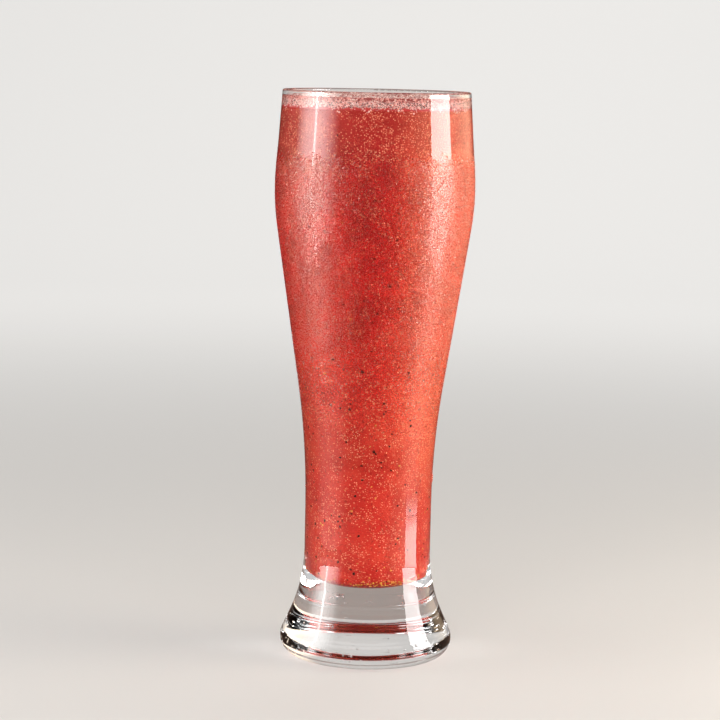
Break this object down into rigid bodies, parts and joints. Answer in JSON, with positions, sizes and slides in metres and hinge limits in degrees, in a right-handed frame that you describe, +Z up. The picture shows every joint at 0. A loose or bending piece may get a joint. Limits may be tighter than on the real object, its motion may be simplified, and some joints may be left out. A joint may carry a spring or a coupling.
{
  "type": "strawberry juice in a glass",
  "caption": "Tall waisted beer glass with a thick clear foot, filled almost to the brim with blended strawberry juice under a thin layer of foam.",
  "frame": {"origin": "centre of the ring that the glass stands on, on the table", "axes": "+Z up along the glass's axis, the pictured side towards -Y"},
  "size_m": [0.0838, 0.0838, 0.24],
  "materials": {
    "clear_glass": "clear, polished, with fine condensation on the body",
    "juice": "thick blended strawberry juice with pale pulp and seeds, wet",
    "foam": "pale pink bubbles, wet"
  },
  "bodies": {
    "root": {"glass": "clear_glass", "juice": "juice", "foam": "foam"}
  },
  "joints": []
}
